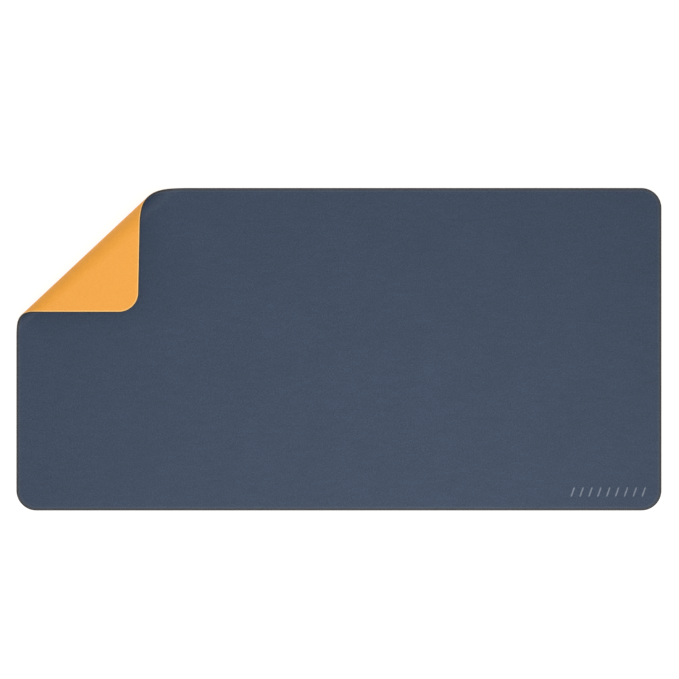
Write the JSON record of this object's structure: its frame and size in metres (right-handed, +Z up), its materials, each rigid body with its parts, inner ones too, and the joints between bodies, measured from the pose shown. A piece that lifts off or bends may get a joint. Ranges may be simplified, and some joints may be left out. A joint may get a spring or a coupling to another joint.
{
  "type": "desk mat",
  "caption": "Flat rectangular desk mat with rounded corners and a sewn edge, a different colour on each face, with a corner curled over on itself to show the underside.",
  "frame": {"origin": "under the middle of the mat's flat rectangle, on the desk", "axes": "+X along the length, +Y towards the far long edge, +Z up, with the curled corner at -X +Y"},
  "size_m": [0.8, 0.4, 0.0408],
  "materials": {
    "top_skin": "matt fine-grained navy leather-look skin",
    "core": "matt non-woven sheet",
    "bottom_skin": "matt fine-grained orange leather-look skin",
    "edge_coat": "dark brown rubbery edge coat, satin",
    "needle_thread": "twisted thread, navy",
    "bobbin_thread": "twisted thread, orange"
  },
  "bodies": {
    "main": {"bottom_skin_main": "bottom_skin", "core_main": "core", "top_skin_main": "top_skin", "edge_coat_main": "edge_coat", "needle_thread_main": "needle_thread", "bobbin_thread_main": "bobbin_thread"},
    "bend_1": {"bottom_skin_bend_1": "bottom_skin", "core_bend_1": "core", "top_skin_bend_1": "top_skin"},
    "bend_2": {"bottom_skin_bend_2": "bottom_skin", "core_bend_2": "core", "top_skin_bend_2": "top_skin"},
    "bend_3": {"bottom_skin_bend_3": "bottom_skin", "core_bend_3": "core", "top_skin_bend_3": "top_skin"},
    "bend_4": {"bottom_skin_bend_4": "bottom_skin", "core_bend_4": "core", "top_skin_bend_4": "top_skin"},
    "bend_5": {"bottom_skin_bend_5": "bottom_skin", "core_bend_5": "core", "top_skin_bend_5": "top_skin"},
    "bend_6": {"bottom_skin_bend_6": "bottom_skin", "core_bend_6": "core", "top_skin_bend_6": "top_skin"},
    "bend_7": {"bottom_skin_bend_7": "bottom_skin", "core_bend_7": "core", "top_skin_bend_7": "top_skin"},
    "bend_8": {"bottom_skin_bend_8": "bottom_skin", "core_bend_8": "core", "top_skin_bend_8": "top_skin"},
    "bend_9": {"bottom_skin_bend_9": "bottom_skin", "core_bend_9": "core", "top_skin_bend_9": "top_skin"},
    "bend_10": {"bottom_skin_bend_10": "bottom_skin", "core_bend_10": "core", "top_skin_bend_10": "top_skin"},
    "bend_11": {"bottom_skin_bend_11": "bottom_skin", "core_bend_11": "core", "top_skin_bend_11": "top_skin"},
    "bend_12": {"bottom_skin_bend_12": "bottom_skin", "core_bend_12": "core", "top_skin_bend_12": "top_skin"},
    "bend_13": {"bottom_skin_bend_13": "bottom_skin", "core_bend_13": "core", "top_skin_bend_13": "top_skin"},
    "bend_14": {"bottom_skin_bend_14": "bottom_skin", "core_bend_14": "core", "top_skin_bend_14": "top_skin"},
    "bend_15": {"bottom_skin_bend_15": "bottom_skin", "core_bend_15": "core", "top_skin_bend_15": "top_skin"},
    "corner": {"bottom_skin_corner": "bottom_skin", "core_corner": "core", "top_skin_corner": "top_skin", "edge_coat_corner": "edge_coat", "needle_thread_corner": "needle_thread", "bobbin_thread_corner": "bobbin_thread"}
  },
  "joints": [
    {"name": "corner_fold", "type": "hinge", "parent": "main", "child": "bend_1", "pos_m": [-0.30454, 0.10472, 0], "axis": [0.7542, 0.6566, 0], "range_deg": [-12.09, 0]},
    {"name": "corner_fold_2", "type": "hinge", "parent": "bend_1", "child": "bend_2", "pos_m": [-0.3069, 0.10741, 0.00077], "axis": [0.7488, 0.6628, 0.0018], "range_deg": [-12.09, 0]},
    {"name": "corner_fold_3", "type": "hinge", "parent": "bend_2", "child": "bend_3", "pos_m": [-0.30913, 0.10991, 0.00227], "axis": [0.7436, 0.6686, 0.0052], "range_deg": [-12.09, 0]},
    {"name": "corner_fold_4", "type": "hinge", "parent": "bend_3", "child": "bend_4", "pos_m": [-0.31113, 0.11209, 0.00444], "axis": [0.739, 0.6736, 0.0102], "range_deg": [-12.09, 0]},
    {"name": "corner_fold_5", "type": "hinge", "parent": "bend_4", "child": "bend_5", "pos_m": [-0.3128, 0.11386, 0.00717], "axis": [0.7352, 0.6777, 0.0165], "range_deg": [-12.09, 0]},
    {"name": "corner_fold_6", "type": "hinge", "parent": "bend_5", "child": "bend_6", "pos_m": [-0.31407, 0.11514, 0.01036], "axis": [0.7323, 0.6806, 0.0239], "range_deg": [-12.09, 0]},
    {"name": "corner_fold_7", "type": "hinge", "parent": "bend_6", "child": "bend_7", "pos_m": [-0.3149, 0.11588, 0.01385], "axis": [0.7304, 0.6823, 0.0319], "range_deg": [-12.09, 0]},
    {"name": "corner_fold_8", "type": "hinge", "parent": "bend_7", "child": "bend_8", "pos_m": [-0.31523, 0.11604, 0.0175], "axis": [0.7296, 0.6827, 0.0403], "range_deg": [-12.09, 0]},
    {"name": "corner_fold_9", "type": "hinge", "parent": "bend_8", "child": "bend_9", "pos_m": [-0.31505, 0.11561, 0.02114], "axis": [0.73, 0.6817, 0.0487], "range_deg": [-12.09, 0]},
    {"name": "corner_fold_10", "type": "hinge", "parent": "bend_9", "child": "bend_10", "pos_m": [-0.31438, 0.11463, 0.0246], "axis": [0.7315, 0.6794, 0.0567], "range_deg": [-12.09, 0]},
    {"name": "corner_fold_11", "type": "hinge", "parent": "bend_10", "child": "bend_11", "pos_m": [-0.31324, 0.11312, 0.02774], "axis": [0.7342, 0.6759, 0.0639], "range_deg": [-12.09, 0]},
    {"name": "corner_fold_12", "type": "hinge", "parent": "bend_11", "child": "bend_12", "pos_m": [-0.31169, 0.11115, 0.03041], "axis": [0.7378, 0.6714, 0.0701], "range_deg": [-12.09, 0]},
    {"name": "corner_fold_13", "type": "hinge", "parent": "bend_12", "child": "bend_13", "pos_m": [-0.30979, 0.10882, 0.0325], "axis": [0.7421, 0.666, 0.0749], "range_deg": [-12.09, 0]},
    {"name": "corner_fold_14", "type": "hinge", "parent": "bend_13", "child": "bend_14", "pos_m": [-0.30762, 0.10622, 0.03391], "axis": [0.7471, 0.6601, 0.0781], "range_deg": [-12.09, 0]},
    {"name": "corner_fold_15", "type": "hinge", "parent": "bend_14", "child": "bend_15", "pos_m": [-0.30529, 0.10348, 0.03459], "axis": [0.7525, 0.6537, 0.0797], "range_deg": [-12.09, 0]},
    {"name": "corner_fold_16", "type": "hinge", "parent": "bend_15", "child": "corner", "pos_m": [-0.30289, 0.10071, 0.03449], "axis": [0.758, 0.6474, 0.0795], "range_deg": [-12.09, 0]}
  ],
  "couplings": [
    {"joint": "corner_fold_2", "follows": "corner_fold", "ratio": 1},
    {"joint": "corner_fold_3", "follows": "corner_fold", "ratio": 1},
    {"joint": "corner_fold_4", "follows": "corner_fold", "ratio": 1},
    {"joint": "corner_fold_5", "follows": "corner_fold", "ratio": 1},
    {"joint": "corner_fold_6", "follows": "corner_fold", "ratio": 1},
    {"joint": "corner_fold_7", "follows": "corner_fold", "ratio": 1},
    {"joint": "corner_fold_8", "follows": "corner_fold", "ratio": 1},
    {"joint": "corner_fold_9", "follows": "corner_fold", "ratio": 1},
    {"joint": "corner_fold_10", "follows": "corner_fold", "ratio": 1},
    {"joint": "corner_fold_11", "follows": "corner_fold", "ratio": 1},
    {"joint": "corner_fold_12", "follows": "corner_fold", "ratio": 1},
    {"joint": "corner_fold_13", "follows": "corner_fold", "ratio": 1},
    {"joint": "corner_fold_14", "follows": "corner_fold", "ratio": 1},
    {"joint": "corner_fold_15", "follows": "corner_fold", "ratio": 1},
    {"joint": "corner_fold_16", "follows": "corner_fold", "ratio": 1}
  ]
}
